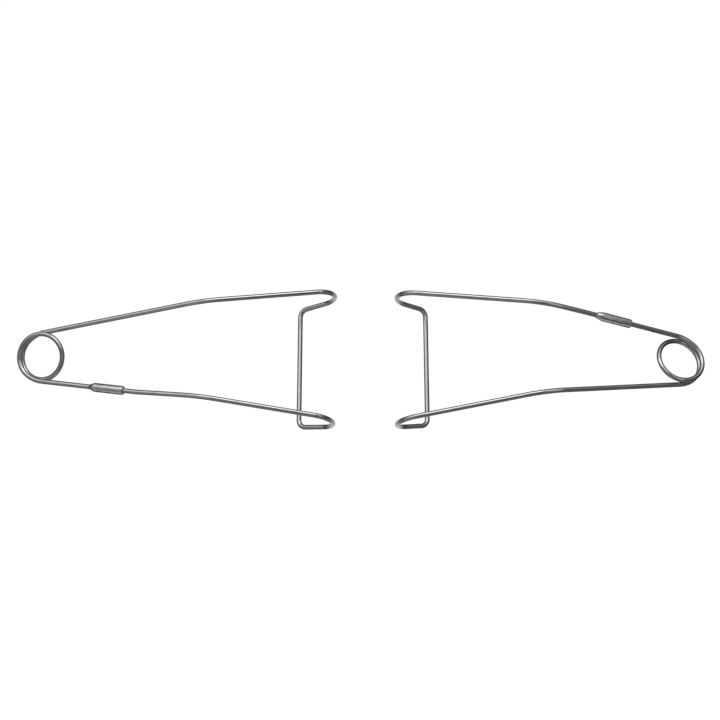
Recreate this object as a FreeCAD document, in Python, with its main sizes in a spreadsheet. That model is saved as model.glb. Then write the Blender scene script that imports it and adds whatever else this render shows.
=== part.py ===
"""Pair of wire lid retractors, each bent from one spring wire and closed by a joining sleeve.

Each retractor lies on its ring and its lid bar. In its own frame u points from the ring to the
lid bar, v points to the plain arm, and z is up. The left one points along +X, and the right one
is the same design turned half a turn, so that the two hooks face each other.
"""
import FreeCAD, Part
import math
import os

from FreeCAD import Placement, Rotation, Vector

PARTS_FOLDER = "parts"
UP = Vector(0, 0, 1)
PLAIN = 1
SLEEVE = -1
ARM_NAMES = {PLAIN: "plain", SLEEVE: "sleeve"}

# Degrees along the ring from the sleeve arm, where its lowest wire lies on the table
LOWEST_STRETCH = range(360, 630)

# Driving dimensions, in millimetres and degrees
SIZES = [
    ("wire_diameter", 0.62, "spring wire"),
    ("ring_radius", 2.83, "centre line of the ring"),
    ("ring_pitch", 0.80, "rise of the ring in one turn"),
    ("ring_tilt_angle", 18.3, "lean of the ring's axis away from the hooks"),
    ("ring_arcs", 12, "arcs that the ring is bent from"),
    ("ring_exit_angle", 84.7, "from the ring's front round to where an arm leaves it"),
    ("ring_lead", 1.4, "straight wire that stays with the ring"),
    ("elbow_height", 7.66, "corner of the elbow above the table"),
    ("elbow_radius", 12.0, "bend radius of the elbow"),
    ("flex_gap", 0.10, "room at the elbow where the wire's bending is set free"),
    ("tip_height", 6.47, "centre line where the hook starts"),
    ("tip_half_width", 7.82, "arm to centre line where the hook starts"),
    ("corner_radius", 1.0, "bend radius between hook and lid bar"),
    ("sleeve_diameter", 1.16, "outside of the joining sleeve"),
    ("sleeve_clearance", 0.02, "film of solder round the wire in the sleeve"),
    ("sleeve_taper_length", 0.72, "tapered end of the sleeve"),
    ("sleeve_nose_wall", 0.06, "wall at the end of the taper"),
    ("sleeve_chamfer", 0.12, "chamfer on the blunt end"),
    ("sleeve_to_bow", 1.6, "end of the sleeve to the corner of the arm's slight bow"),
    ("bow_radius", 16.0, "bend radius of the slight bow"),
    ("wire_end_gap", 0.30, "solder between the two wire ends"),
    ("left_place_x", -7.595, "left frame's origin"),
    ("left_place_y", 0.233, "left frame's origin"),
    ("left_heading_angle", -1.52, "turn about the vertical"),
    ("left_ring_reach", 32.09, "left ring's centre behind its origin"),
    ("left_elbow_reach", 11.95, "left elbow behind its origin"),
    ("left_plain_elbow_width", 5.95, "centre line to the left plain arm's elbow"),
    ("left_sleeve_elbow_width", 6.08, "centre line to the left sleeve arm's elbow"),
    ("left_plain_tip_reach", 1.96, "start of the left plain hook before its origin"),
    ("left_sleeve_tip_reach", 2.22, "start of the left sleeve hook before its origin"),
    ("left_plain_hook_angle", 147.9, "turn of the wire round the left plain hook"),
    ("left_sleeve_hook_angle", 147.1, "turn of the wire round the left sleeve hook"),
    ("left_plain_lean_angle", -3.0, "left plain hook's lean away from the centre line"),
    ("left_sleeve_lean_angle", 2.5, "left sleeve hook's lean away from the centre line"),
    ("left_hook_radius", 2.43, "bend radius of the left hook"),
    ("left_sleeve_bow", 0.24, "outward bow of the left sleeve arm"),
    ("left_sleeve_offset", 7.34, "ring's lead to the middle of the left sleeve"),
    ("left_sleeve_length", 4.80, "left joining sleeve"),
    ("left_nose_angle", 180, "left taper points to the ring"),
    ("right_place_x", 8.205, "right frame's origin"),
    ("right_place_y", 0.083, "right frame's origin"),
    ("right_heading_angle", 180.93, "turn about the vertical"),
    ("right_ring_reach", 31.47, "right ring's centre behind its origin"),
    ("right_elbow_reach", 14.30, "right elbow behind its origin"),
    ("right_plain_elbow_width", 5.20, "centre line to the right plain arm's elbow"),
    ("right_sleeve_elbow_width", 6.03, "centre line to the right sleeve arm's elbow"),
    ("right_plain_tip_reach", 1.55, "start of the right plain hook before its origin"),
    ("right_sleeve_tip_reach", 1.24, "start of the right sleeve hook before its origin"),
    ("right_plain_hook_angle", 147.4, "turn of the wire round the right plain hook"),
    ("right_sleeve_hook_angle", 145.1, "turn of the wire round the right sleeve hook"),
    ("right_plain_lean_angle", -0.9, "right plain hook's lean away from the centre line"),
    ("right_sleeve_lean_angle", -2.5, "right sleeve hook's lean away from the centre line"),
    ("right_hook_radius", 2.55, "bend radius of the right hook"),
    ("right_sleeve_bow", 0.05, "outward bow of the right sleeve arm"),
    ("right_sleeve_offset", 7.26, "ring's lead to the middle of the right sleeve"),
    ("right_sleeve_length", 4.60, "right joining sleeve"),
    ("right_nose_angle", 0, "right taper points to the hook"),
]


def make_sheet(doc):
    """Write the driving dimensions into a spreadsheet, one alias to a row."""
    sheet = doc.addObject("Spreadsheet::Sheet", "sizes")
    for row, (alias, value, note) in enumerate(SIZES, start=1):
        sheet.set(f"A{row}", alias)
        sheet.set(f"B{row}", str(value))
        sheet.setAlias(f"B{row}", alias)
        sheet.set(f"C{row}", note)
    doc.recompute()
    return sheet


class Fillet:
    """Arc that rounds the corner between two straight runs of wire."""

    def __init__(self, before, corner, after, radius=None, tangent=None):
        to_before = (before - corner).normalize()
        to_after = (after - corner).normalize()
        half_angle = to_before.getAngle(to_after) / 2
        if tangent is None:
            tangent = radius / math.tan(half_angle)
        if radius is None:
            radius = tangent * math.tan(half_angle)
        inwards = (to_before + to_after).normalize()
        self.start = corner + to_before * tangent
        self.end = corner + to_after * tangent
        self.middle = corner + inwards * (math.hypot(tangent, radius) - radius)

    def reach(self):
        """Full arc, from its start to its end."""
        return Part.Arc(self.start, self.middle, self.end)

    def halves(self, gap):
        """Arcs from the start to the middle and on to the end, with a gap between them."""
        arc = self.reach()
        share = gap / 2 / arc.length()
        return split_arc(arc, 0.0, 0.5 - share), split_arc(arc, 0.5 + share, 1.0)


def split_arc(arc, low, high):
    """Part of an arc, between two shares of its length."""
    span = arc.LastParameter - arc.FirstParameter
    shares = (low, (low + high) / 2, high)
    points = [arc.value(arc.FirstParameter + span * share) for share in shares]
    return Part.Arc(*points)


def straight(start, end):
    """Straight run of wire."""
    return Part.LineSegment(start, end)


class Retractor:
    """Centre line of one retractor, worked out from the spreadsheet."""

    def __init__(self, sheet, side):
        self.side = side
        self.sheet = sheet
        self.wire_radius = sheet.wire_diameter / 2
        self.heading = Rotation(UP, self.own("heading_angle"))
        origin = Vector(self.own("place_x"), self.own("place_y"), 0)
        self.frame = Placement(origin, self.heading)
        self.ring_corners = self.make_ring_corners()
        self.elbow = {arm: self.elbow_corner(arm) for arm in (PLAIN, SLEEVE)}
        self.tip = {arm: self.tip_start(arm) for arm in (PLAIN, SLEEVE)}
        self.ring_exit = {SLEEVE: self.ring_corners[0], PLAIN: self.ring_corners[-1]}
        self.after_ring = {SLEEVE: self.bow_corner(), PLAIN: self.elbow[PLAIN]}

    def own(self, name):
        """Size that this retractor has for itself."""
        return getattr(self.sheet, f"{self.side}_{name}")

    def arm_own(self, arm, name):
        """Size that one arm of this retractor has for itself."""
        return self.own(f"{ARM_NAMES[arm]}_{name}")

    def make_ring_corners(self):
        """Corners of the turns, whose rounded path winds down from the sleeve arm."""
        sheet = self.sheet
        back = math.radians(sheet.ring_tilt_angle)
        exit_angle = sheet.ring_exit_angle
        sweep = 720 - 2 * exit_angle
        climb = sheet.ring_pitch * sweep / 360
        ends_apart = 2 * sheet.ring_radius * math.sin(math.radians(exit_angle))
        side = math.atan2(climb, ends_apart)
        forward = Vector(math.cos(back), 0, math.sin(back))
        level_axis = Vector(-math.sin(back), 0, math.cos(back))
        axis = level_axis * math.cos(side) + Vector(0, -1, 0) * math.sin(side)
        across = axis.cross(forward)
        step = sweep / sheet.ring_arcs
        corner_radius = sheet.ring_radius / math.cos(math.radians(step / 2))

        def turn_point(angle, radius):
            turned = math.radians(angle)
            round_axis = forward * math.cos(turned) + across * math.sin(turned)
            return round_axis * radius + axis * (sheet.ring_pitch * (angle + 360) / 360)

        lowest = min(turn_point(-angle, sheet.ring_radius).z for angle in LOWEST_STRETCH)
        centre = Vector(-self.own("ring_reach"), 0, self.wire_radius - lowest)
        corners = []
        for count in range(int(sheet.ring_arcs)):
            angle = -exit_angle - step * (count + 0.5)
            corners.append(centre + turn_point(angle, corner_radius))
        return corners

    def elbow_corner(self, arm):
        """Corner of one arm's elbow."""
        half_width = self.arm_own(arm, "elbow_width")
        return Vector(-self.own("elbow_reach"), arm * half_width, self.sheet.elbow_height)

    def tip_start(self, arm):
        """Point where one arm starts to bend round into its hook."""
        half_width = self.sheet.tip_half_width
        return Vector(self.arm_own(arm, "tip_reach"), arm * half_width, self.sheet.tip_height)

    def half_side(self):
        """Half of one side of the ring's polygon, where each of its arcs starts and ends."""
        return self.ring_corners[1].distanceToPoint(self.ring_corners[0]) / 2

    def bow_corner(self):
        """Corner of the sleeve arm's slight bow, just past the joining sleeve."""
        sheet = self.sheet
        along = (self.elbow[SLEEVE] - self.ring_corners[0]).normalize()
        outward = along.cross(UP).normalize()
        past_ring = sheet.ring_lead + self.own("sleeve_offset") + self.own("sleeve_length") / 2
        reach = self.half_side() + past_ring + sheet.sleeve_to_bow
        return self.ring_corners[0] + along * reach + outward * self.own("sleeve_bow")

    def hook_arc(self, arm):
        """Bend of the hook, in a plane that holds the arm and leans a little from upright."""
        along = (self.tip[arm] - self.elbow[arm]).normalize()
        sideways = UP.cross(along).normalize()
        lean = math.radians(self.arm_own(arm, "lean_angle"))
        down = sideways.cross(along) * math.cos(lean) + sideways * (arm * math.sin(lean))
        radius = self.own("hook_radius")
        full_turn = math.radians(self.arm_own(arm, "hook_angle"))
        centre = self.tip[arm] + down * radius
        points = []
        for turned in (0, full_turn / 2, full_turn):
            points.append(centre - down * (radius * math.cos(turned)) + along * (radius * math.sin(turned)))
        leg = along * math.cos(full_turn) + down * math.sin(full_turn)
        return points, leg

    def bar_corner(self, arm):
        """Corner where the hook's leg meets the table and turns into the lid bar."""
        points, leg = self.hook_arc(arm)
        run = (self.wire_radius - points[-1].z) / leg.z
        return points[-1] + leg * run

    def elbow_fillet(self, arm):
        """Elbow, from the ring's side to the hook's side."""
        before = self.bow_corner() if arm == SLEEVE else self.ring_exit[PLAIN]
        return Fillet(before, self.elbow[arm], self.tip[arm], radius=self.sheet.elbow_radius)

    def bow_fillet(self):
        """Slight bow of the sleeve arm, from the sleeve to the elbow."""
        runs = (self.ring_exit[SLEEVE], self.bow_corner(), self.elbow[SLEEVE])
        return Fillet(*runs, radius=self.sheet.bow_radius)

    def bar_fillet(self, arm):
        """Rounded corner, from the hook's leg to the lid bar."""
        points, _ = self.hook_arc(arm)
        return Fillet(points[-1], self.bar_corner(arm), self.bar_corner(-arm), radius=self.sheet.corner_radius)

    def ring_fillets(self):
        """Arcs of the ring, each touching the next at the middle of a side."""
        tangent = self.half_side()
        points = [self.after_ring[SLEEVE], *self.ring_corners, self.after_ring[PLAIN]]
        return [Fillet(*points[index:index + 3], tangent=tangent) for index in range(len(points) - 2)]

    def ring_joint(self, arm):
        """Point on an arm where the ring's straight lead ends."""
        fillets = self.ring_fillets()
        start = fillets[-1].end if arm == PLAIN else fillets[0].start
        return start + self.arm_direction(arm) * self.sheet.ring_lead

    def arm_direction(self, arm):
        """Direction in which an arm leaves the ring."""
        return (self.after_ring[arm] - self.ring_exit[arm]).normalize()

    def sleeve_middle(self):
        """Middle of the joining sleeve, and the direction from it to the hook."""
        along = self.arm_direction(SLEEVE)
        return self.ring_joint(SLEEVE) + along * self.own("sleeve_offset"), along

    def sections(self):
        """Runs of wire by name, each a list of straight runs and arcs."""
        half_gap = self.sheet.wire_end_gap / 2
        middle, along = self.sleeve_middle()
        ring = [fillet.reach() for fillet in self.ring_fillets()]
        first, last = ring[0].StartPoint, ring[-1].EndPoint
        runs = {
            "ring": [straight(self.ring_joint(SLEEVE), first), *ring, straight(last, self.ring_joint(PLAIN))],
            "sleeve_arm_tail": [straight(middle - along * half_gap, self.ring_joint(SLEEVE))],
            "lid_bar": self.bar_run(),
        }
        bow = self.bow_fillet()
        rear_runs = {
            PLAIN: [straight(self.ring_joint(PLAIN), self.elbow_fillet(PLAIN).start)],
            SLEEVE: [
                straight(middle + along * half_gap, bow.start),
                bow.reach(),
                straight(bow.end, self.elbow_fillet(SLEEVE).start),
            ],
        }
        for arm, arm_name in ARM_NAMES.items():
            elbow = self.elbow_fillet(arm)
            bend, _ = self.hook_arc(arm)
            rear_bend, front_bend = elbow.halves(self.sheet.flex_gap)
            runs[f"{arm_name}_arm_rear"] = [*rear_runs[arm], rear_bend]
            runs[f"{arm_name}_arm_front"] = [front_bend, straight(elbow.end, bend[0])]
            leg = straight(bend[-1], self.bar_fillet(arm).start)
            runs[f"{arm_name}_hook"] = [Part.Arc(*bend), leg]
        return runs

    def bar_run(self):
        """Lid bar with its two rounded corners."""
        plain, sleeve = self.bar_fillet(PLAIN), self.bar_fillet(SLEEVE)
        back = Part.Arc(sleeve.end, sleeve.middle, sleeve.start)
        return [plain.reach(), straight(plain.end, sleeve.end), back]


def add_wire(doc, name, run, retractor):
    """Sweep the round wire along one run, in the place where the retractor lies."""
    edges = [piece.toShape() for piece in run]
    path = doc.addObject("Part::Feature", f"{name}_path")
    path.Shape = Part.Wire(edges).transformed(retractor.frame.toMatrix())
    first = path.Shape.OrderedEdges[0]
    start = first.valueAt(first.FirstParameter)
    section = doc.addObject("Part::Circle", f"{name}_section")
    section.setExpression("Radius", "sizes.wire_diameter / 2")
    section.Placement = Placement(start, Rotation(UP, first.tangentAt(first.FirstParameter)))
    sweep = doc.addObject("Part::Sweep", name)
    sweep.Label = name
    sweep.Sections = [section]
    sweep.Spine = (path, [f"Edge{count}" for count in range(1, len(edges) + 1)])
    sweep.Solid = True
    sweep.Frenet = False
    return sweep


def origin_plane(body, role):
    """One of a body's own origin planes."""
    return next(item for item in body.Origin.OriginFeatures if item.Role == role)


def add_sleeve(doc, name, retractor):
    """Turn the joining sleeve from its half section: blunt end, barrel and tapered nose."""
    body = doc.addObject("PartDesign::Body", name)
    body.Label = name
    sketch = body.newObject("Sketcher::SketchObject", f"{name}_profile")
    sketch.AttachmentSupport = [(origin_plane(body, "XY_Plane"), "")]
    sketch.MapMode = "FlatFace"
    sheet = retractor.sheet
    length = retractor.own("sleeve_length")
    bore = retractor.wire_radius + sheet.sleeve_clearance
    outside = sheet.sleeve_diameter / 2
    back = -length / 2
    nose = length / 2
    corners = [
        Vector(back, bore, 0),
        Vector(back, outside - sheet.sleeve_chamfer, 0),
        Vector(back + sheet.sleeve_chamfer, outside, 0),
        Vector(nose - sheet.sleeve_taper_length, outside, 0),
        Vector(nose, bore + sheet.sleeve_nose_wall, 0),
        Vector(nose, bore, 0),
    ]
    following = corners[1:] + corners[:1]
    sketch.addGeometry([Part.LineSegment(*pair) for pair in zip(corners, following)])
    bind_sleeve_profile(sketch, len(corners), retractor.side)
    turned = body.newObject("PartDesign::Revolution", f"{name}_turned")
    turned.Profile = sketch
    turned.ReferenceAxis = (sketch, ["H_Axis"])
    turned.Angle = 360
    middle, along = retractor.sleeve_middle()
    lengthwise = Rotation(Vector(1, 0, 0), along)
    nose_side = Rotation(UP, retractor.own("nose_angle"))
    body.Placement = retractor.frame.multiply(Placement(middle, lengthwise.multiply(nose_side)))
    return body


def bind_sleeve_profile(sketch, count, side):
    """Constrain the sleeve's half section and tie it to the spreadsheet."""
    import Sketcher

    def add(*values):
        return sketch.addConstraint(Sketcher.Constraint(*values))

    for line in range(count):
        add("Coincident", line, 2, (line + 1) % count, 1)
    for line in (0, 4):
        add("Vertical", line)
    for line in (2, 5):
        add("Horizontal", line)
    origin = (-1, 1)
    bound = {
        "bore": ("DistanceY", *origin, 0, 1, "sizes.wire_diameter / 2 + sizes.sleeve_clearance"),
        "outside": ("DistanceY", *origin, 2, 1, "sizes.sleeve_diameter / 2"),
        "chamfer_depth": ("DistanceY", 0, 2, 2, 1, "sizes.sleeve_chamfer"),
        "chamfer_length": ("DistanceX", 0, 2, 2, 1, "sizes.sleeve_chamfer"),
        "taper": ("DistanceX", 2, 2, 4, 1, "sizes.sleeve_taper_length"),
        "nose_wall": ("DistanceY", 5, 1, 4, 1, "sizes.sleeve_nose_wall"),
        "back": ("DistanceX", 0, 1, *origin, f"sizes.{side}_sleeve_length / 2"),
        "nose": ("DistanceX", *origin, 5, 1, f"sizes.{side}_sleeve_length / 2"),
    }
    for name, (kind, first, first_end, second, second_end, expression) in bound.items():
        number = add(kind, first, first_end, second, second_end, 1.0)
        sketch.renameConstraint(number, name)
        sketch.setExpression(f"Constraints.{name}", expression)


def add_solder(doc, name, retractor):
    """Solder that fills the sleeve between the two ends of the wire."""
    solder = doc.addObject("Part::Cylinder", name)
    solder.Label = name
    solder.setExpression("Radius", "sizes.wire_diameter / 2")
    solder.setExpression("Height", "sizes.wire_end_gap")
    middle, along = retractor.sleeve_middle()
    start = middle - along * (retractor.sheet.wire_end_gap / 2)
    solder.Placement = retractor.frame.multiply(Placement(start, Rotation(UP, along)))
    return solder


def add_retractor(doc, sheet, side):
    """Make every piece of one retractor."""
    retractor = Retractor(sheet, side)
    runs = retractor.sections()
    pieces = [add_wire(doc, f"{side}_{name}", run, retractor) for name, run in runs.items()]
    pieces.append(add_sleeve(doc, f"{side}_joining_sleeve", retractor))
    pieces.append(add_solder(doc, f"{side}_solder", retractor))
    return pieces


def check(doc, pieces):
    """Stop when anything in the document failed or a piece is no sound solid."""
    for item in doc.Objects:
        if "Invalid" in item.State or "Error" in item.State:
            raise RuntimeError(f"{item.Name} failed: {item.State}")
    for piece in pieces:
        if piece.Shape.isNull() or not piece.Shape.isValid() or len(piece.Shape.Solids) != 1:
            raise RuntimeError(f"{piece.Label} is not one sound solid")
        print(f"{piece.Label}: {piece.Shape.Volume:.4f} mm3")


def main():
    """Build the pair and write one file for each piece."""
    doc = FreeCAD.newDocument("lid_retractors")
    sheet = make_sheet(doc)
    pieces = [piece for side in ("left", "right") for piece in add_retractor(doc, sheet, side)]
    doc.recompute()
    check(doc, pieces)
    os.makedirs("parts", exist_ok=True)
    for piece in pieces:
        piece.Shape.exportStep(f"{PARTS_FOLDER}/{piece.Label}.step")


main()
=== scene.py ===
"""Looks of a pair of wire lid retractors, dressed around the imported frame.

Each retractor is one polished spring wire, wound into a ring and bent to two bowed arms with a
hooked lid bar, and closed by a satin joining sleeve. The retractors' sizes are in millimetres until
their meshes are made. The meshes and everything in the studio are in metres.
"""

import logging
import math
from dataclasses import dataclass
from enum import Enum

import bmesh
import bpy
from mathutils import Matrix, Vector


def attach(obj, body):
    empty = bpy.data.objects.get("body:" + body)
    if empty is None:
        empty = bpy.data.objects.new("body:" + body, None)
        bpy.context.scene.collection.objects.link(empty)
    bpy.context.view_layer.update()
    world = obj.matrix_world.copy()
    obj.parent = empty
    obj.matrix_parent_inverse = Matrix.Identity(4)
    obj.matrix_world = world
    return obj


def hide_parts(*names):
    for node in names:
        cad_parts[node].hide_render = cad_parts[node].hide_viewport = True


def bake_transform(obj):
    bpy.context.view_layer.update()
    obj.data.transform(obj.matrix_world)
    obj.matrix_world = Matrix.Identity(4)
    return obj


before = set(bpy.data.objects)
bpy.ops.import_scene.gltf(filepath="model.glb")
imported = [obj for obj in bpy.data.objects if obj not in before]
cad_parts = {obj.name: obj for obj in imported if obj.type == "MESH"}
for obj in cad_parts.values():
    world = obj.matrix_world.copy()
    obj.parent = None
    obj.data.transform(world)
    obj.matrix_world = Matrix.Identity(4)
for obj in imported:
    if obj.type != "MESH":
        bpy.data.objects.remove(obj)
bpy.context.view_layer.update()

LOG = logging.getLogger("lid_retractors")
MM = 0.001
UP = Vector((0.0, 0.0, 1.0))
WORK_MAP = "work_map"
# Degrees between the points of a bend.
ARC_STEP = 3.0
# Points of a wire that are closer than this, in millimetres, count as one.
SAME_POINT = 1e-5
# Edges of a turned piece that are sharper than this, in degrees, are shaded as edges.
SHARP_ANGLE = 50.0
# Degrees back along the ring's helix, among which its lowest point is looked for.
LOWEST_STRETCH = range(360, 630)


class Arm(Enum):
    """The two arms of a retractor, by the side of the centre line on which they lie."""

    PLAIN = 1
    SLEEVE = -1


@dataclass(frozen=True)
class WireForm:
    """Sizes that both retractors share.

    Lengths are in millimetres and angles in degrees.
    """

    wire_radius: float = 0.31
    ring_radius: float = 2.83
    ring_pitch: float = 0.80
    ring_tilt: float = 18.3
    ring_arcs: int = 12
    ring_exit_angle: float = 84.7
    ring_lead: float = 1.4
    elbow_height: float = 7.66
    elbow_radius: float = 12.0
    tip_height: float = 6.47
    tip_half_width: float = 7.82
    corner_radius: float = 1.0
    sleeve_to_bow: float = 1.6
    bow_radius: float = 16.0
    wire_end_gap: float = 0.30
    bend_zone: float = 2.6


@dataclass(frozen=True)
class SleeveForm:
    """Sizes of the joining sleeve, in millimetres."""

    radius: float = 0.58
    clearance: float = 0.02
    nose_wall: float = 0.06
    end_wall: float = 0.13
    end_round: float = 0.28
    end_steps: int = 5
    edge_round: float = 0.03
    sides: int = 64
    solder_rise: float = 0.07
    solder_run: float = 0.16
    solder_steps: int = 6
    solder_sink: float = 0.97


@dataclass(frozen=True)
class ArmBend:
    """How one arm of a specimen was bent, in millimetres and degrees."""

    elbow_width: float
    tip_reach: float
    hook_angle: float
    lean: float


@dataclass(frozen=True)
class Bending:
    """How one specimen was bent and where it lies, in millimetres and degrees."""

    name: str
    place: tuple[float, float]
    heading: float
    ring_reach: float
    elbow_reach: float
    plain_arm: ArmBend
    sleeve_arm: ArmBend
    hook_radius: float
    sleeve_bow: float
    sleeve_offset: float
    sleeve_length: float
    sleeve_taper: float
    nose_trim: float
    nose_angle: float

    def arm(self, arm: Arm) -> ArmBend:
        """Bends of one arm."""
        return self.plain_arm if arm is Arm.PLAIN else self.sleeve_arm


LEFT = Bending(
    name="left",
    place=(-7.595, 0.233),
    heading=-1.52,
    ring_reach=32.09,
    elbow_reach=11.95,
    plain_arm=ArmBend(elbow_width=5.95, tip_reach=1.96, hook_angle=147.9, lean=-3.0),
    sleeve_arm=ArmBend(elbow_width=6.08, tip_reach=2.22, hook_angle=147.1, lean=2.5),
    hook_radius=2.43,
    sleeve_bow=0.24,
    sleeve_offset=7.34,
    sleeve_length=4.80,
    sleeve_taper=0.52,
    nose_trim=0.38,
    nose_angle=180.0,
)
RIGHT = Bending(
    name="right",
    place=(8.205, 0.083),
    heading=180.93,
    ring_reach=31.47,
    elbow_reach=14.30,
    plain_arm=ArmBend(elbow_width=5.20, tip_reach=1.55, hook_angle=147.4, lean=-0.9),
    sleeve_arm=ArmBend(elbow_width=6.03, tip_reach=1.24, hook_angle=145.1, lean=-2.5),
    hook_radius=2.55,
    sleeve_bow=0.05,
    sleeve_offset=7.26,
    sleeve_length=4.60,
    sleeve_taper=0.72,
    nose_trim=0.0,
    nose_angle=0.0,
)


@dataclass(frozen=True)
class SteelFinish:
    """A bare steel surface.

    Grain is counted in marks for one unit of the piece's own map, along and across the work.
    A painted shade darkens the rim between painted_shade_start and painted_shade_full and fades out
    again between glance_start and glance_full, measured from 0 where the surface faces the viewer to 1
    at its outline. Where the piece's run is steeper than steep_start, the painted shade fades to
    steep_share.
    """

    name: str
    color: tuple[float, float, float]
    dark_color: tuple[float, float, float]
    roughness: float
    roughness_spread: float
    grain_along: float
    grain_across: float
    grain_depth: float
    patch_size: float
    anisotropy: float
    # Painted shade along the outline: its colour, and where it starts and is full.
    painted_shade_color: tuple[float, float, float] = (0.03, 0.03, 0.03)
    painted_shade_start: float = 0.11
    painted_shade_full: float = 0.36
    glance_start: float = 0.60
    glance_full: float = 0.82
    glance_tint: float = 0.70
    steep_start: float = 0.70
    steep_full: float = 1.0
    steep_share: float = 0.45


DRAWN_WIRE = SteelFinish(
    name="drawn_spring_wire",
    color=(0.64, 0.64, 0.65),
    dark_color=(0.42, 0.42, 0.43),
    roughness=0.06,
    roughness_spread=0.07,
    grain_along=0.35,
    grain_across=26.0,
    grain_depth=0.03,
    patch_size=900.0,
    anisotropy=0.35,
)
SATIN_SLEEVE = SteelFinish(
    name="satin_sleeve",
    color=(0.70, 0.70, 0.70),
    dark_color=(0.34, 0.34, 0.34),
    roughness=0.19,
    roughness_spread=0.13,
    grain_along=3.5,
    grain_across=14.0,
    grain_depth=0.30,
    patch_size=2200.0,
    anisotropy=0.15,
    # Where the painted shade along the sleeve's outline starts and is full.
    painted_shade_start=0.16,
    painted_shade_full=0.46,
)
DULL_SOLDER = SteelFinish(
    name="dull_solder",
    color=(0.52, 0.52, 0.51),
    dark_color=(0.30, 0.30, 0.30),
    roughness=0.42,
    roughness_spread=0.20,
    grain_along=4.0,
    grain_across=4.0,
    grain_depth=0.30,
    patch_size=3500.0,
    anisotropy=0.0,
)


class NodeSheet:
    """Small helper that adds nodes to a tree and links them."""

    def __init__(self, tree: bpy.types.NodeTree) -> None:
        """Keep the tree that the nodes go into."""
        self.tree = tree

    def add(self, kind: str, **values: object) -> bpy.types.Node:
        """Add a node and set its properties.

        Args:
            kind: the node's type name.
            values: properties of the node by name.

        Returns:
            The new node.
        """
        node = self.tree.nodes.new(kind)
        for name, value in values.items():
            setattr(node, name, value)
        return node

    def link(self, source: bpy.types.NodeSocket, target: bpy.types.NodeSocket) -> None:
        """Join an output to an input."""
        self.tree.links.new(source, target)

    def math(self, operation: str, *values: bpy.types.NodeSocket | float) -> bpy.types.NodeSocket:
        """Add a sum.

        Args:
            operation: the math node's operation.
            values: outputs to link or constants to set, in the node's order.

        Returns:
            The result.
        """
        node = self.add("ShaderNodeMath", operation=operation)
        for value, socket in zip(values, node.inputs):
            if isinstance(value, bpy.types.NodeSocket):
                self.link(value, socket)
            else:
                socket.default_value = value
        return node.outputs["Value"]

    def fade(
        self,
        value: bpy.types.NodeSocket,
        source: tuple[float, float] = (0.0, 1.0),
        target: tuple[float, float] = (0.0, 1.0),
        smooth: bool = True,
    ) -> bpy.types.NodeSocket:
        """Add a map from one range to another.

        Args:
            value: the output that is mapped.
            source: its own range.
            target: the range that it takes.
            smooth: False for a straight line.

        Returns:
            The mapped value.
        """
        node = self.add("ShaderNodeMapRange", interpolation_type="SMOOTHSTEP" if smooth else "LINEAR")
        node.inputs["From Min"].default_value, node.inputs["From Max"].default_value = source
        node.inputs["To Min"].default_value, node.inputs["To Max"].default_value = target
        self.link(value, node.inputs["Value"])
        return node.outputs["Result"]

    def mix_colors(
        self,
        share: bpy.types.NodeSocket,
        first: bpy.types.NodeSocket | None,
        colors: dict[str, tuple[float, ...]],
    ) -> bpy.types.NodeSocket:
        """Add a mix of two colours.

        Args:
            share: how much of B shows.
            first: an output for A, or None when A is a constant.
            colors: the constant colours by socket name.

        Returns:
            The mixed colour.
        """
        node = self.add("ShaderNodeMix", data_type="RGBA")
        for name, color in colors.items():
            node.inputs[name].default_value = (*color, 1.0)
        self.link(share, node.inputs["Factor"])
        if first is not None:
            self.link(first, node.inputs["A"])
        return node.outputs["Result"]


def grey(value: float) -> tuple[float, float, float, float]:
    """An opaque grey."""
    return (value, value, value, 1.0)


def new_material(name: str) -> tuple[bpy.types.Material, NodeSheet, bpy.types.Node]:
    """Start a material with nothing but its output.

    Args:
        name: the material's name.

    Returns:
        The material, the sheet of its tree and its output node.
    """
    material = bpy.data.materials.new(name)
    material.use_nodes = True
    material.node_tree.nodes.clear()
    sheet = NodeSheet(material.node_tree)
    return material, sheet, sheet.add("ShaderNodeOutputMaterial")


def add_socket(
    tree: bpy.types.NodeTree, name: str, kind: str, incoming: bool, default: object = None
) -> None:
    """Give a node group one named socket.

    Args:
        tree: the group.
        name: the socket's name.
        kind: the socket's type name.
        incoming: True for an input.
        default: the value of an unlinked input.
    """
    side = "INPUT" if incoming else "OUTPUT"
    socket = tree.interface.new_socket(name=name, in_out=side, socket_type=kind)
    if default is not None:
        socket.default_value = default


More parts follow.
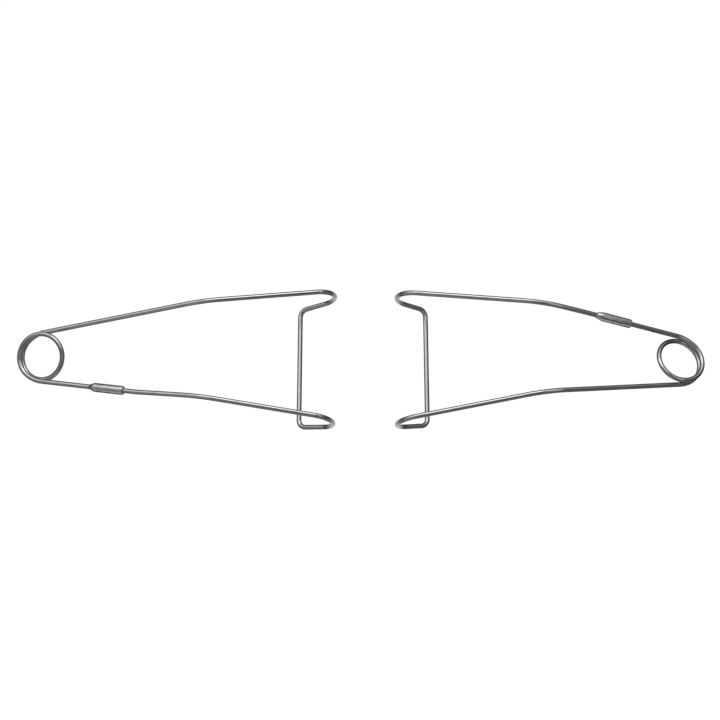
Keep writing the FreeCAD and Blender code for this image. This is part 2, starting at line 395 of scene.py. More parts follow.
def make_grain_group() -> bpy.types.NodeTree:
    """Build the group that draws the lines a die or a lathe leaves on steel.

    Returns:
        A shader group that puts out the grain's height and a soft mask of patches.
    """
    tree = bpy.data.node_groups.new("steel_grain", "ShaderNodeTree")
    for name, kind, default in (
        ("Map", "NodeSocketVector", None),
        ("Place", "NodeSocketVector", None),
        ("Along", "NodeSocketFloat", 1.0),
        ("Across", "NodeSocketFloat", 20.0),
        ("Patch Size", "NodeSocketFloat", 1000.0),
    ):
        add_socket(tree, name, kind, True, default)
    for name in ("Height", "Patches"):
        add_socket(tree, name, "NodeSocketFloat", False)
    sheet = NodeSheet(tree)
    inputs = sheet.add("NodeGroupInput")
    outputs = sheet.add("NodeGroupOutput")
    stretch = sheet.add("ShaderNodeCombineXYZ")
    sheet.link(inputs.outputs["Along"], stretch.inputs["X"])
    sheet.link(inputs.outputs["Across"], stretch.inputs["Y"])
    scaled = sheet.add("ShaderNodeVectorMath", operation="MULTIPLY")
    sheet.link(inputs.outputs["Map"], scaled.inputs[0])
    sheet.link(stretch.outputs["Vector"], scaled.inputs[1])
    lines = sheet.add("ShaderNodeTexNoise")
    lines.inputs["Scale"].default_value = 1.0
    lines.inputs["Detail"].default_value = 5.0
    lines.inputs["Roughness"].default_value = 0.62
    sheet.link(scaled.outputs["Vector"], lines.inputs["Vector"])
    sheet.link(lines.outputs["Fac"], outputs.inputs["Height"])
    cloud = sheet.add("ShaderNodeTexNoise")
    cloud.inputs["Detail"].default_value = 3.0
    sheet.link(inputs.outputs["Place"], cloud.inputs["Vector"])
    sheet.link(inputs.outputs["Patch Size"], cloud.inputs["Scale"])
    patches = sheet.fade(cloud.outputs["Fac"], source=(0.35, 0.70), smooth=False)
    sheet.link(patches, outputs.inputs["Patches"])
    return tree


class SteelMaker:
    """Makes the steel materials, which share one grain group."""

    BUMP_HEIGHT = 0.01 * MM

    def __init__(self) -> None:
        """Build the shared group."""
        self.grain = make_grain_group()

    def make(self, finish: SteelFinish, map_name: str | None) -> bpy.types.Material:
        """Make the material of one finish.

        Args:
            finish: the surface.
            map_name: the piece's own UV map, or None to lay the grain by object coordinates.

        Returns:
            A node material for a closed metal piece.
        """
        material, sheet, output = new_material(finish.name)
        material.diffuse_color = (*finish.color, 1.0)
        steel = sheet.add("ShaderNodeBsdfPrincipled")
        steel.inputs["Metallic"].default_value = 1.0
        steel.inputs["Anisotropic"].default_value = finish.anisotropy
        steel.inputs["Specular Tint"].default_value = grey(finish.glance_tint)
        sheet.link(steel.outputs["BSDF"], output.inputs["Surface"])
        grain = self.add_grain(sheet, finish, map_name)
        shade = sheet.math("MULTIPLY", grain.outputs["Height"], grain.outputs["Patches"])
        tone = sheet.mix_colors(shade, None, {"A": finish.color, "B": finish.dark_color})
        # Painted shade: the rim along the piece's outline is darkened towards painted_shade_color.
        rim = self.add_painted_rim_shade(sheet, finish, map_name)
        sheet.link(sheet.mix_colors(rim, tone, {"B": finish.painted_shade_color}), steel.inputs["Base Color"])
        rough_range = (finish.roughness, finish.roughness + finish.roughness_spread)
        rough = sheet.fade(grain.outputs["Height"], target=rough_range, smooth=False)
        sheet.link(rough, steel.inputs["Roughness"])
        bump = sheet.add("ShaderNodeBump")
        bump.inputs["Strength"].default_value = finish.grain_depth
        bump.inputs["Distance"].default_value = self.BUMP_HEIGHT
        sheet.link(grain.outputs["Height"], bump.inputs["Height"])
        sheet.link(bump.outputs["Normal"], steel.inputs["Normal"])
        return material

    def add_grain(self, sheet: NodeSheet, finish: SteelFinish, map_name: str | None) -> bpy.types.Node:
        """Lay the shared grain on a material.

        Args:
            sheet: the material's tree.
            finish: the surface.
            map_name: as in make.

        Returns:
            The grain group's node.
        """
        coordinates = sheet.add("ShaderNodeTexCoord")
        grain = sheet.add("ShaderNodeGroup", node_tree=self.grain)
        grain.inputs["Along"].default_value = finish.grain_along
        grain.inputs["Across"].default_value = finish.grain_across
        grain.inputs["Patch Size"].default_value = finish.patch_size
        sheet.link(coordinates.outputs["Object"], grain.inputs["Place"])
        if map_name:
            own_map = sheet.add("ShaderNodeUVMap", uv_map=map_name)
            sheet.link(own_map.outputs["UV"], grain.inputs["Map"])
        else:
            sheet.link(coordinates.outputs["Object"], grain.inputs["Map"])
        return grain

    def add_painted_rim_shade(self, sheet: NodeSheet, finish: SteelFinish, map_name: str | None) -> bpy.types.NodeSocket:
        """Mask the painted shade along the piece's outline, as SteelFinish says.

        Args:
            sheet: the material's tree.
            finish: the surface.
            map_name: as in make.

        Returns:
            The mask of the painted shade, weaker where a mapped piece runs steeply and mirrors the white
            table.
        """
        facing = sheet.add("ShaderNodeLayerWeight")
        facing.inputs["Blend"].default_value = 0.5
        turned_away = facing.outputs["Facing"]
        # Painted shade along the outline, growing as the surface turns away from the viewer.
        rim = sheet.fade(turned_away, source=(finish.painted_shade_start, finish.painted_shade_full))
        glance_range = (finish.glance_start, finish.glance_full)
        glance = sheet.fade(turned_away, source=glance_range, target=(1.0, 0.0))
        painted_rim_shade = sheet.math("MULTIPLY", rim, glance)
        if not map_name:
            return painted_rim_shade
        along = sheet.add("ShaderNodeTangent", direction_type="UV_MAP", uv_map=map_name)
        split = sheet.add("ShaderNodeSeparateXYZ")
        sheet.link(along.outputs["Tangent"], split.inputs["Vector"])
        steep = sheet.math("ABSOLUTE", split.outputs["Z"])
        steep_range = (finish.steep_start, finish.steep_full)
        kept = sheet.fade(steep, source=steep_range, target=(1.0, finish.steep_share))
        return sheet.math("MULTIPLY", painted_rim_shade, kept)


def rounded_corner(before: Vector, corner: Vector, after: Vector, tangent: float) -> list[Vector]:
    """Points of the arc that rounds one corner of a wire.

    Args:
        before: a point on the run that arrives.
        corner: where the two runs would meet.
        after: a point on the run that leaves.
        tangent: distance from the corner to either end of the arc.

    Returns:
        Points from one end of the arc to the other.
    """
    to_before = (before - corner).normalized()
    to_after = (after - corner).normalized()
    half_angle = to_before.angle(to_after) / 2
    radius = tangent * math.tan(half_angle)
    inwards = (to_before + to_after).normalized()
    centre = corner + inwards * math.hypot(tangent, radius)
    start = corner + to_before * tangent - centre
    end = corner + to_after * tangent - centre
    turn = start.angle(end)
    steps = max(2, math.ceil(math.degrees(turn) / ARC_STEP))
    points = []
    for step in range(steps + 1):
        share = step / steps
        near = math.sin((1 - share) * turn) / math.sin(turn)
        far = math.sin(share * turn) / math.sin(turn)
        points.append(centre + start * near + end * far)
    return points


def tangent_length(before: Vector, corner: Vector, after: Vector, radius: float) -> float:
    """Distance from a corner to where an arc of the given radius starts."""
    return radius / math.tan((before - corner).angle(after - corner) / 2)


@dataclass
class Retractor:
    """One retractor: its wire, joining sleeve and solder.

    Args:
        bending: the specimen's own sizes.
        form: the sizes that both retractors share.
        sleeve: the joining sleeve's sizes.
    """

    bending: Bending
    form: WireForm = WireForm()
    sleeve: SleeveForm = SleeveForm()

    def to_frame(self) -> Matrix:
        """Matrix from this retractor's own millimetres to the frame's metres."""
        place = Matrix.Translation((*self.bending.place, 0.0))
        heading = Matrix.Rotation(math.radians(self.bending.heading), 4, "Z")
        return Matrix.Scale(MM, 4) @ place @ heading

    def node(self, name: str) -> str:
        """Name of one of this retractor's nodes."""
        return f"{self.bending.name}_{name}"

    def ring_corners(self) -> list[Vector]:
        """Corners of the ring's turns, from the sleeve arm down to the plain arm."""
        form = self.form
        tilt = math.radians(form.ring_tilt)
        exit_angle = form.ring_exit_angle
        sweep = 720 - 2 * exit_angle
        climb = form.ring_pitch * sweep / 360
        side = math.atan2(climb, 2 * form.ring_radius * math.sin(math.radians(exit_angle)))
        forward = Vector((math.cos(tilt), 0.0, math.sin(tilt)))
        level_axis = Vector((-math.sin(tilt), 0.0, math.cos(tilt)))
        axis = level_axis * math.cos(side) - Vector((0.0, 1.0, 0.0)) * math.sin(side)
        across = axis.cross(forward)
        step = sweep / form.ring_arcs

        def turn_point(angle: float, radius: float) -> Vector:
            """Point on the helix at an angle, about the ring's centre."""
            turned = math.radians(angle)
            round_axis = forward * math.cos(turned) + across * math.sin(turned)
            return round_axis * radius + axis * (form.ring_pitch * (angle + 360) / 360)

        lowest = min(turn_point(-angle, form.ring_radius).z for angle in LOWEST_STRETCH)
        centre = Vector((-self.bending.ring_reach, 0.0, form.wire_radius - lowest))
        corner_radius = form.ring_radius / math.cos(math.radians(step / 2))
        angles = (-exit_angle - step * (count + 0.5) for count in range(form.ring_arcs))
        return [centre + turn_point(angle, corner_radius) for angle in angles]

    def elbow(self, arm: Arm) -> Vector:
        """Corner of an arm's elbow."""
        half_width = self.bending.arm(arm).elbow_width
        return Vector((-self.bending.elbow_reach, arm.value * half_width, self.form.elbow_height))

    def tip(self, arm: Arm) -> Vector:
        """Point where an arm starts to bend into its hook."""
        reach = self.bending.arm(arm).tip_reach
        return Vector((reach, arm.value * self.form.tip_half_width, self.form.tip_height))

    def bow_corner(self) -> Vector:
        """Corner of the sleeve arm's slight bow, just past the joining sleeve."""
        form, bending = self.form, self.bending
        corners = self.ring_corners()
        along = (self.elbow(Arm.SLEEVE) - corners[0]).normalized()
        outward = along.cross(UP).normalized()
        half_side = (corners[1] - corners[0]).length / 2
        past_ring = form.ring_lead + bending.sleeve_offset + bending.sleeve_length / 2
        reach = half_side + past_ring + form.sleeve_to_bow
        return corners[0] + along * reach + outward * bending.sleeve_bow

    def hook(self, arm: Arm) -> tuple[list[Vector], Vector]:
        """Bend of the hook.

        Args:
            arm: the arm that carries the hook.

        Returns:
            Points round the bend, and the corner where its leg reaches the lid bar.
        """
        bend = self.bending.arm(arm)
        along = (self.tip(arm) - self.elbow(arm)).normalized()
        sideways = UP.cross(along).normalized()
        lean = math.radians(bend.lean)
        down = sideways.cross(along) * math.cos(lean) + sideways * (arm.value * math.sin(lean))
        radius = self.bending.hook_radius
        centre = self.tip(arm) + down * radius
        steps = round(bend.hook_angle / ARC_STEP)
        points = []
        for step in range(steps + 1):
            turned = math.radians(bend.hook_angle * step / steps)
            points.append(centre - down * radius * math.cos(turned) + along * radius * math.sin(turned))
        leg = along * math.cos(turned) + down * math.sin(turned)
        run = (self.form.wire_radius - points[-1].z) / leg.z
        return points, points[-1] + leg * run

    def ring_joint(self) -> Vector:
        """Point on the sleeve arm where the ring's straight lead ends."""
        corners = self.ring_corners()
        tangent = (corners[1] - corners[0]).length / 2
        along = (self.bow_corner() - corners[0]).normalized()
        return corners[0] + along * (tangent + self.form.ring_lead)

    def sleeve_middle(self) -> tuple[Vector, Vector]:
        """Middle of the joining sleeve and the direction from it to the hook."""
        along = (self.bow_corner() - self.ring_corners()[0]).normalized()
        return self.ring_joint() + along * self.bending.sleeve_offset, along

    def centre_line(self) -> list[Vector]:
        """Whole wire, from its end in the sleeve round the ring and the hooks and back again."""
        corners = self.ring_corners()
        bow = self.bow_corner()
        middle, along = self.sleeve_middle()
        half_gap = self.form.wire_end_gap / 2
        side = (corners[1] - corners[0]).length
        ring_path = [bow, *corners, self.elbow(Arm.PLAIN)]
        points = [middle - along * half_gap]
        for index in range(1, len(ring_path) - 1):
            points += rounded_corner(*ring_path[index - 1:index + 2], side / 2)
        plain_hook, plain_corner = self.hook(Arm.PLAIN)
        sleeve_hook, sleeve_corner = self.hook(Arm.SLEEVE)
        points += self.elbow_points(Arm.PLAIN, corners[-1])
        points += plain_hook
        points += self.bar_points(plain_hook[-1], plain_corner, sleeve_corner)
        points += reversed(self.bar_points(sleeve_hook[-1], sleeve_corner, plain_corner))
        points += reversed(sleeve_hook)
        points += reversed(self.elbow_points(Arm.SLEEVE, bow))
        points += reversed(self.bow_points(corners[0], bow))
        points.append(middle + along * half_gap)
        return fill_straights(points)

    def bow_points(self, ring_exit: Vector, bow: Vector) -> list[Vector]:
        """Slight bow of the sleeve arm, from the ring's side to the elbow's side."""
        runs = (ring_exit, bow, self.elbow(Arm.SLEEVE))
        return rounded_corner(*runs, tangent_length(*runs, self.form.bow_radius))

    def elbow_points(self, arm: Arm, before: Vector) -> list[Vector]:
        """Rounded elbow of one arm, from the ring's side to the hook's side."""
        runs = (before, self.elbow(arm), self.tip(arm))
        return rounded_corner(*runs, tangent_length(*runs, self.form.elbow_radius))

    def bar_points(self, leg_start: Vector, corner: Vector, far_corner: Vector) -> list[Vector]:
        """Rounded corner between a hook's leg and the lid bar."""
        runs = (leg_start, corner, far_corner)
        return rounded_corner(*runs, tangent_length(*runs, self.form.corner_radius))

    def build(self, steel: "Workshop") -> list[bpy.types.Object]:
        """Make every piece of this retractor and tie it to the frame.

        Args:
            steel: the materials and the tree that sweeps the wire.

        Returns:
            The finished pieces.
        """
        return [self.build_wire(steel), self.build_sleeve(steel), self.build_solder(steel)]

    def build_wire(self, steel: "Workshop") -> bpy.types.Object:
        """Sweep the wire and hide the CAD nodes that it stands in for."""
        to_frame = self.to_frame()
        points = [to_frame @ point for point in self.centre_line()]
        wire = steel.sweep(self.node("wire"), points, self.form.wire_radius * MM)
        plain, sleeve = self.elbow(Arm.PLAIN), self.elbow(Arm.SLEEVE)
        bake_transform(wire)
        runs = ("ring", "sleeve_arm_tail", "plain_arm_rear", "sleeve_arm_rear", "plain_arm_front")
        ends = ("sleeve_arm_front", "plain_hook", "sleeve_hook", "lid_bar")
        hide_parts(*(self.node(name) for name in runs + ends))
        return wire

    def sleeve_profile(self) -> list[tuple[float, float]]:
        """Half section of the sleeve as (along, out) points, once round."""
        sleeve = self.sleeve
        half = self.bending.sleeve_length / 2
        bore = self.form.wire_radius + sleeve.clearance
        lip = sleeve.edge_round
        nose_end = half - self.bending.nose_trim
        taper_start = nose_end - self.bending.sleeve_taper
        nose = bore + sleeve.nose_wall
        profile = [(-half + lip, bore), (-half, bore + lip)]
        for step in range(sleeve.end_steps + 1):
            turned = math.radians(90 * step / sleeve.end_steps)
            along = -half + sleeve.end_round * (1 - math.cos(turned))
            profile.append((along, sleeve.radius - sleeve.end_wall * (1 - math.sin(turned))))
        return profile + [
            (taper_start - lip * 2, sleeve.radius),
            (taper_start + lip, sleeve.radius - lip * 0.4),
            (nose_end - lip, nose + lip * 0.3),
            (nose_end, nose - lip * 0.5),
            (nose_end - lip * 0.5, bore),
        ]

    def sleeve_matrix(self) -> Matrix:
        """Matrix from the sleeve's own millimetres to the frame's metres."""
        middle, along = self.sleeve_middle()
        aim = along.to_track_quat("X", "Z").to_matrix().to_4x4()
        nose_side = Matrix.Rotation(math.radians(self.bending.nose_angle), 4, "Z")
        return self.to_frame() @ Matrix.Translation(middle) @ aim @ nose_side

    def build_sleeve(self, steel: "Workshop") -> bpy.types.Object:
        """Turn the joining sleeve on its axis."""
        matrix = self.sleeve_matrix()
        piece = turn_profile(self.node("sleeve"), self.sleeve_profile(), self.sleeve.sides, matrix)
        piece.data.materials.append(steel.sleeve)
        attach(piece, self.node("ring_end"))
        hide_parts(self.node("joining_sleeve"))
        return piece

    def build_solder(self, steel: "Workshop") -> bpy.types.Object:
        """Lay the small hollow rim of solder where the wire leaves each end of the sleeve."""
        sleeve = self.sleeve
        half = self.bending.sleeve_length / 2
        wire = self.form.wire_radius
        rims = []
        for end, face in ((-1, -half), (1, half - self.bending.nose_trim)):
            outer = wire + min(sleeve.solder_rise, sleeve.nose_wall)
            back = face - end * sleeve.edge_round * 2
            rise = []
            for step in range(sleeve.solder_steps + 1):
                share = step / sleeve.solder_steps
                along = face + end * sleeve.solder_run * share
                rise.append((along, wire + (outer - wire) * (1 - share) ** 2))
            sunk = wire * sleeve.solder_sink
            foot = [(face + end * sleeve.solder_run, sunk), (back, sunk)]
            rims.append([(back, outer), *rise, *foot])
        matrix = self.sleeve_matrix()
        parts = [
            turn_profile(f"rim_{number}", rim, sleeve.sides, matrix) for number, rim in enumerate(rims)
        ]
        piece = join_pieces(self.node("solder_rims"), parts)
        piece.data.materials.append(steel.solder)
        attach(piece, self.node("ring_end"))
        return piece


def fill_straights(points: list[Vector], longest: float = 0.35) -> list[Vector]:
    """Add points on the long runs, so that no two points are far apart.

    Args:
        points: the centre line.
        longest: greatest distance between two points, in millimetres.

    Returns:
        The centre line with more points and no doubles.
    """
    filled = [points[0]]
    for start, end in zip(points[:-1], points[1:]):
        length = (end - start).length
        if length < SAME_POINT:
            continue
        steps = max(1, math.ceil(length / longest))
        filled += [start.lerp(end, step / steps) for step in range(1, steps + 1)]
    return filled


def turn_profile(
    name: str, profile: list[tuple[float, float]], sides: int, matrix: Matrix
) -> bpy.types.Object:
    """Turn a closed half section about the X axis.

    Args:
        name: the object's name.
        profile: (along, out) points once round the section.
        sides: how many facets go round.
        matrix: takes the turned shape to its place in the frame.

    Returns:
        A smooth closed mesh with a map of its length and girth.
    """
    mesh = bpy.data.meshes.new(name)
    shape = bmesh.new()
    layer = shape.loops.layers.uv.new(WORK_MAP)
    rings = []
    for step in range(sides):
        turned = 2 * math.pi * step / sides
        ring = [shape.verts.new((x, r * math.cos(turned), r * math.sin(turned))) for x, r in profile]
        rings.append(ring)
    count = len(profile)
    for step in range(sides):
        here, there = rings[step], rings[(step + 1) % sides]
        for index in range(count):
            following = (index + 1) % count
            face = shape.faces.new((here[index], here[following], there[following], there[index]))
            face.smooth = True
            ends = ((index, step), (following, step), (following, step + 1), (index, step + 1))
            for loop, (point, turn) in zip(face.loops, ends):
                loop[layer].uv = (profile[point][0], turn / sides)
    bmesh.ops.recalc_face_normals(shape, faces=shape.faces)
    shape.transform(matrix)
    shape.to_mesh(mesh)
    shape.free()
    mesh.set_sharp_from_angle(angle=math.radians(SHARP_ANGLE))
    piece = bpy.data.objects.new(name, mesh)
    bpy.context.scene.collection.objects.link(piece)
    return piece


def join_pieces(name: str, parts: list[bpy.types.Object]) -> bpy.types.Object:
    """Join meshes at the origin into one piece.

    Args:
        name: the new piece's name.
        parts: meshes, which are used up.

    Returns:
        One object with all their faces.
    """
    mesh = bpy.data.meshes.new(name)
    shape = bmesh.new()
    for part in parts:
        shape.from_mesh(part.data)
        bpy.data.objects.remove(part)
    shape.to_mesh(mesh)
    shape.free()
    piece = bpy.data.objects.new(name, mesh)
    bpy.context.scene.collection.objects.link(piece)
    return piece


def make_sweep_tree() -> bpy.types.NodeTree:
    """Build the tree that sweeps a round wire along a centre line.

    Returns:
        A geometry tree with the inputs Wire Radius, Sides and Finish.
    """
    tree = bpy.data.node_groups.new("sweep_wire", "GeometryNodeTree")
    add_socket(tree, "Geometry", "NodeSocketGeometry", True)
    add_socket(tree, "Wire Radius", "NodeSocketFloat", True, 0.0003)
    add_socket(tree, "Sides", "NodeSocketInt", True, 24)
    add_socket(tree, "Finish", "NodeSocketMaterial", True)
    add_socket(tree, "Geometry", "NodeSocketGeometry", False)
    sheet = NodeSheet(tree)
    inputs = sheet.add("NodeGroupInput")
    outputs = sheet.add("NodeGroupOutput")
    line = sheet.add("GeometryNodeMeshToCurve")
    sheet.link(inputs.outputs["Geometry"], line.inputs["Mesh"])
    length = sheet.add("GeometryNodeSplineParameter")
    keep_length = sheet.add("GeometryNodeCaptureAttribute", domain="POINT")
    keep_length.capture_items.new("FLOAT", "Length")
    sheet.link(line.outputs["Curve"], keep_length.inputs["Geometry"])
    sheet.link(length.outputs["Length"], keep_length.inputs["Length"])
    circle = sheet.add("GeometryNodeCurvePrimitiveCircle", mode="RADIUS")
    sheet.link(inputs.outputs["Sides"], circle.inputs["Resolution"])
    sheet.link(inputs.outputs["Wire Radius"], circle.inputs["Radius"])
    girth = sheet.add("GeometryNodeSplineParameter")
    keep_girth = sheet.add("GeometryNodeCaptureAttribute", domain="POINT")
    keep_girth.capture_items.new("FLOAT", "Girth")
    sheet.link(circle.outputs["Curve"], keep_girth.inputs["Geometry"])
    sheet.link(girth.outputs["Factor"], keep_girth.inputs["Girth"])
    sweep = sheet.add("GeometryNodeCurveToMesh")
    sweep.inputs["Fill Caps"].default_value = True
    sheet.link(keep_length.outputs["Geometry"], sweep.inputs["Curve"])
    sheet.link(keep_girth.outputs["Geometry"], sweep.inputs["Profile Curve"])
    place = sheet.add("ShaderNodeCombineXYZ")
    in_mm = sheet.math("DIVIDE", keep_length.outputs["Length"], MM)
    fold = sheet.math("PINGPONG", keep_girth.outputs["Girth"], 0.5)
    sheet.link(in_mm, place.inputs["X"])
    sheet.link(fold, place.inputs["Y"])
    store = sheet.add("GeometryNodeStoreNamedAttribute", data_type="FLOAT2", domain="CORNER")
    store.inputs["Name"].default_value = WORK_MAP
    sheet.link(sweep.outputs["Mesh"], store.inputs["Geometry"])
    sheet.link(place.outputs["Vector"], store.inputs["Value"])
    smooth = sheet.add("GeometryNodeSetShadeSmooth")
    sheet.link(store.outputs["Geometry"], smooth.inputs["Geometry"])
    realize = sheet.add("GeometryNodeRealizeInstances")
    sheet.link(smooth.outputs["Geometry"], realize.inputs["Geometry"])
    dress = sheet.add("GeometryNodeSetMaterial")
    sheet.link(realize.outputs["Geometry"], dress.inputs["Geometry"])
    sheet.link(inputs.outputs["Finish"], dress.inputs["Material"])
    sheet.link(dress.outputs["Geometry"], outputs.inputs["Geometry"])
    return tree


class Workshop:
    """Materials and the wire-sweeping tree that both retractors use."""

    WIRE_SIDES = 28

    def __init__(self) -> None:
        """Make the finishes and the tree once."""
        maker = SteelMaker()
        self.wire = maker.make(DRAWN_WIRE, WORK_MAP)
        self.sleeve = maker.make(SATIN_SLEEVE, WORK_MAP)
        self.solder = maker.make(DULL_SOLDER, None)
        self.sweep_tree = make_sweep_tree()

    def sweep(self, name: str, points: list[Vector], radius: float) -> bpy.types.Object:
        """Sweep a wire along points and turn the result into a plain mesh.

        Args:
            name: the piece's name.
            points: the centre line in the frame's metres.
            radius: the wire's radius in metres.

        Returns:
            The wire as a plain mesh object at the origin.
        """
        line = bpy.data.meshes.new(f"{name}_line")
        line.from_pydata(points, [(index, index + 1) for index in range(len(points) - 1)], [])
        guide = bpy.data.objects.new(f"{name}_guide", line)
        bpy.context.scene.collection.objects.link(guide)
        modifier = guide.modifiers.new("sweep", "NODES")
        modifier.node_group = self.sweep_tree
        values = {"Wire Radius": radius, "Sides": self.WIRE_SIDES, "Finish": self.wire}
        for item in self.sweep_tree.interface.items_tree:
            if item.in_out == "INPUT" and item.name in values:
                modifier[item.identifier] = values[item.name]
        evaluated = guide.evaluated_get(bpy.context.evaluated_depsgraph_get())
        mesh = bpy.data.meshes.new_from_object(evaluated)
        mesh.name = name
        bpy.data.objects.remove(guide)
        piece = bpy.data.objects.new(name, mesh)
        bpy.context.scene.collection.objects.link(piece)
        return piece


@dataclass(frozen=True)
class Panel:
    """Pale panel in the tent's roof.

    Its bounds are distances to the right of the object and behind it for one unit of height.
    """

    aside: tuple[float, float]
    behind: tuple[float, float]
    glow: float


@dataclass(frozen=True)
class Tent:
    """Grey tent over the table, with one window behind the object that widens upwards.

    Lengths are in metres and angles in degrees. An azimuth of 0 is the near side and 90 the right.
    The window's upper edge slants over top_reach to either side of its middle. From left to right
    the cloth's glow fades between fade_start and fade_full, counted in radii.
    """

    radius: float = 0.45
    columns: int = 72
    rows: int = 18
    cap_rows: int = 4
    right_edge: float = 162.0
    right_slant: float = -0.60
    left_edge: float = 242.0
    left_slant: float = 0.36
    top_edge: float = 75.0
    top_slant: float = -0.12
    top_reach: float = 30.0
    fade_start: float = -0.45
    fade_full: float = 0.30
    left_glow: float = 0.27
    right_glow: float = 0.115
    far_glow: float = 0.55
    far_start: float = 0.05
    far_full: float = 0.35
    panels: tuple[Panel, ...] = (
        Panel(aside=(-1.10, 0.10), behind=(0.06, 0.26), glow=0.50),
        Panel(aside=(0.48, 0.88), behind=(-0.60, 0.42), glow=0.48),
    )

    def top(self, azimuth: float) -> float:
        """Elevation of the window's upper edge, which hangs lower on the left."""
        off_middle = min(max(azimuth - 180.0, -self.top_reach), self.top_reach)
        return self.top_edge + self.top_slant * off_middle

    def sides(self, elevation: float) -> tuple[float, float]:
        """Azimuths of the cloth's two ends, on the left and round the near side to the right."""
        left_end = self.left_edge + self.left_slant * elevation
        return left_end, 360.0 + self.right_edge + self.right_slant * elevation


@dataclass(frozen=True)
class Studio:
    """Table, tent, lights and camera.

    Lengths are in metres and angles in degrees.
    """

    target: tuple[float, float, float] = (-0.0000885, 0.001134, 0.0)
    elevation: float = 74.28
    distance: float = 0.27925
    lens: float = 111.7
    sensor: float = 36.0
    floor_half: float = 3.0
    floor_share: float = 0.85
    floor_glow: float = 1.145
    room_light: float = 0.55
    key_azimuth: float = 182.0
    key_elevation: float = 58.0
    key_distance: float = 0.42
    key_width: float = 0.20
    key_depth: float = 0.12
    key_power: float = 0.11
    paper_white: float = 0.9
    clip: tuple[float, float] = (0.01, 10.0)
    tent: Tent = Tent()

    def build(self) -> None:
        """Set the table, the tent, the light and the camera."""
        self.set_color()
        self.set_world()
        self.set_floor()
        self.set_tent()
        self.set_key_light()
        self.set_camera()

    def set_color(self) -> None:
        """Show colours as they are written."""
        bpy.context.scene.view_settings.view_transform = "Standard"

    def shows_background(self, sheet: NodeSheet) -> bpy.types.NodeSocket:
        """Mask of the rays that see the backdrop itself.

        Args:
            sheet: the tree that gets the nodes.

        Returns:
            An output of 1 for camera, glossy and transmission rays, and 0 for the rest.
        """
        rays = sheet.add("ShaderNodeLightPath").outputs
        either = sheet.math("MAXIMUM", rays["Is Camera Ray"], rays["Is Glossy Ray"])
        return sheet.math("MAXIMUM", either, rays["Is Transmission Ray"])

    def set_world(self) -> None:
        """Make the room white to look at and even on the table."""
        world = bpy.data.worlds.new("studio_room")
        bpy.context.scene.world = world
        world.use_nodes = True
        tree = world.node_tree
        tree.nodes.clear()
        sheet = NodeSheet(tree)
        output = sheet.add("ShaderNodeOutputWorld")
        seen = sheet.add("ShaderNodeBackground")
        seen.inputs["Color"].default_value = grey(1.0)
        room = sheet.add("ShaderNodeBackground")
        room.inputs["Color"].default_value = grey(self.room_light)
        mix = sheet.add("ShaderNodeMixShader")
        sheet.link(self.shows_background(sheet), mix.inputs["Fac"])
        sheet.link(room.outputs["Background"], mix.inputs[1])
        sheet.link(seen.outputs["Background"], mix.inputs[2])
        sheet.link(mix.outputs["Shader"], output.inputs["Surface"])

    def set_floor(self) -> None:
        """Lay the white table, which keeps a soft shadow."""
        half = self.floor_half
        corners = [(-half, -half, 0.0), (half, -half, 0.0), (half, half, 0.0), (-half, half, 0.0)]
        floor = add_mesh("table", corners, [(0, 1, 2, 3)])
        material, sheet, output = new_material("white_table")
        paper = sheet.add("ShaderNodeBsdfDiffuse")
        paper.inputs["Color"].default_value = grey(self.paper_white)
        glow = sheet.add("ShaderNodeEmission")
        glow.inputs["Color"].default_value = grey(1.0)
        glow.inputs["Strength"].default_value = self.floor_glow
        mix = sheet.add("ShaderNodeMixShader")
        share = sheet.math("MULTIPLY", self.shows_background(sheet), self.floor_share)
        sheet.link(share, mix.inputs["Fac"])
        sheet.link(paper.outputs["BSDF"], mix.inputs[1])
        sheet.link(glow.outputs["Emission"], mix.inputs[2])
        sheet.link(mix.outputs["Shader"], output.inputs["Surface"])
        floor.data.materials.append(material)

    def set_tent(self) -> None:
        """Put up the grey tent, which gives the steel its darker sides."""
        tent = self.tent
        points, faces = [], []
        for row in range(tent.rows + 1):
            elevation = tent.top_edge * row / tent.rows
            left_end, right_end = tent.sides(elevation)
            for column in range(tent.columns + 1):
                azimuth = left_end + (right_end - left_end) * column / tent.columns
                raised = elevation * tent.top(azimuth % 360.0) / tent.top_edge
                points.append(self.direction(azimuth, raised) * tent.radius)
        for row in range(tent.cap_rows + 1):
            for column in range(tent.columns + 1):
                azimuth = 360.0 * column / tent.columns
                top = tent.top(azimuth)
                raised = top + (90.0 - top) * row / tent.cap_rows
                points.append(self.direction(azimuth, raised) * tent.radius)
        width = tent.columns + 1
        for row in range(tent.rows + tent.cap_rows + 1):
            if row == tent.rows:
                continue
            for column in range(tent.columns):
                corner = row * width + column
                faces.append((corner, corner + 1, corner + 1 + width, corner + width))
        piece = add_mesh("tent", points, faces)
        piece.data.materials.append(self.make_tent_cloth())
        piece.visible_camera = False

    def make_tent_cloth(self) -> bpy.types.Material:
        """Make the tent's cloth, lighter on the left and by the window, with its pale roof panels."""
        tent = self.tent
        material, sheet, output = new_material("grey_cloth")
        place = sheet.add("ShaderNodeTexCoord")
        split = sheet.add("ShaderNodeSeparateXYZ")
        cloth = sheet.add("ShaderNodeEmission")
        sheet.link(place.outputs["Object"], split.inputs["Vector"])
        fade_range = (tent.fade_start * tent.radius, tent.fade_full * tent.radius)
        glow_range = (tent.left_glow, tent.right_glow)
        side_glow = sheet.fade(split.outputs["X"], source=fade_range, target=glow_range)
        far_range = (tent.far_start, tent.far_full)
        far_glow = sheet.fade(split.outputs["Y"], source=far_range, target=(0.0, tent.far_glow))
        glow = sheet.math("ADD", side_glow, far_glow)
        for panel in tent.panels:
            glow = self.add_panel(sheet, split, panel, glow)
        sheet.link(glow, cloth.inputs["Strength"])
        sheet.link(cloth.outputs["Emission"], output.inputs["Surface"])
        return material

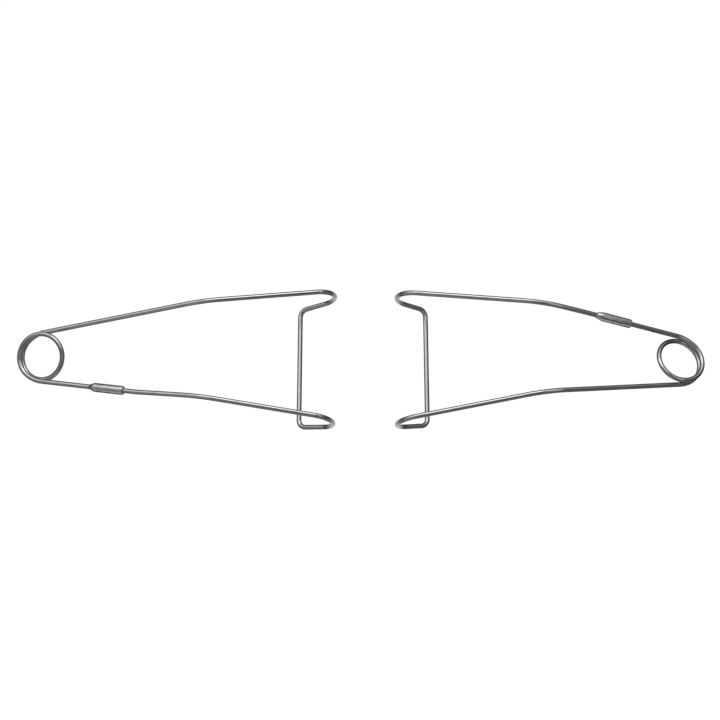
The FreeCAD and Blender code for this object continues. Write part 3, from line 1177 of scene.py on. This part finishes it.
    def add_panel(
        self, sheet: NodeSheet, split: bpy.types.Node, panel: Panel, glow: bpy.types.NodeSocket
    ) -> bpy.types.NodeSocket:
        """Add one roof panel to the cloth's glow.

        Args:
            sheet: the cloth's tree.
            split: the node that puts out the place on the cloth as X, Y and Z.
            panel: the panel.
            glow: the glow so far.

        Returns:
            The glow with the panel.
        """
        masks = []
        for axis, (low, high) in (("X", panel.aside), ("Y", panel.behind)):
            slope = sheet.math("DIVIDE", split.outputs[axis], split.outputs["Z"])
            masks.append(sheet.math("COMPARE", slope, (low + high) / 2, (high - low) / 2))
        return sheet.math("MULTIPLY_ADD", sheet.math("MULTIPLY", *masks), panel.glow, glow)

    def direction(self, azimuth: float, elevation: float) -> Vector:
        """Unit vector from the object towards an azimuth and elevation in degrees."""
        turned, raised = math.radians(azimuth), math.radians(elevation)
        level = Vector((math.sin(turned), -math.cos(turned), 0.0))
        return level * math.cos(raised) + UP * math.sin(raised)

    def aim(self, target: Vector, azimuth: float, elevation: float, distance: float) -> Matrix:
        """Placement of something that looks at a target.

        Args:
            target: the point looked at.
            azimuth: 0 stands on the near side, 180 behind the object.
            elevation: height above the table as an angle.
            distance: how far away it stands.

        Returns:
            A world matrix whose -Z axis points at the target.
        """
        back = self.direction(azimuth, elevation)
        turn = (-back).to_track_quat("-Z", "Y").to_matrix().to_4x4()
        return Matrix.Translation(target + back * distance) @ turn

    def set_key_light(self) -> None:
        """Hang one broad soft box over the table, behind the object."""
        lamp = bpy.data.lights.new("soft_box", "AREA")
        lamp.shape = "RECTANGLE"
        lamp.size = self.key_width
        lamp.size_y = self.key_depth
        lamp.energy = self.key_power
        box = bpy.data.objects.new("soft_box", lamp)
        bpy.context.scene.collection.objects.link(box)
        middle = Vector((0.0, 0.0, 0.0))
        box.matrix_world = self.aim(middle, self.key_azimuth, self.key_elevation, self.key_distance)

    def set_camera(self) -> None:
        """Stand the camera where the photograph was taken."""
        data = bpy.data.cameras.new("camera")
        data.lens = self.lens
        data.sensor_width = self.sensor
        data.clip_start, data.clip_end = self.clip
        camera = bpy.data.objects.new("camera", data)
        bpy.context.scene.collection.objects.link(camera)
        camera.matrix_world = self.aim(Vector(self.target), 0.0, self.elevation, self.distance)
        bpy.context.scene.camera = camera


def add_mesh(name: str, points: list[Vector], faces: list[tuple[int, ...]]) -> bpy.types.Object:
    """Make a mesh object of the studio from its points and faces."""
    mesh = bpy.data.meshes.new(name)
    mesh.from_pydata(points, [], faces)
    piece = bpy.data.objects.new(name, mesh)
    bpy.context.scene.collection.objects.link(piece)
    return piece


def dress_hidden_solder(workshop: Workshop) -> None:
    """Give the solder inside each sleeve its finish."""
    for bending in (LEFT, RIGHT):
        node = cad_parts[f"{bending.name}_solder"]
        node.data.materials.clear()
        node.data.materials.append(workshop.solder)


def main() -> None:
    """Build the pair, then the studio."""
    logging.basicConfig(level=logging.INFO, format="%(name)s: %(message)s")
    Studio().build()
    workshop = Workshop()
    for bending in (LEFT, RIGHT):
        for piece in Retractor(bending).build(workshop):
            LOG.info("%s: %d faces", piece.name, len(piece.data.polygons))
    dress_hidden_solder(workshop)


if __name__ == "__main__":
    main()
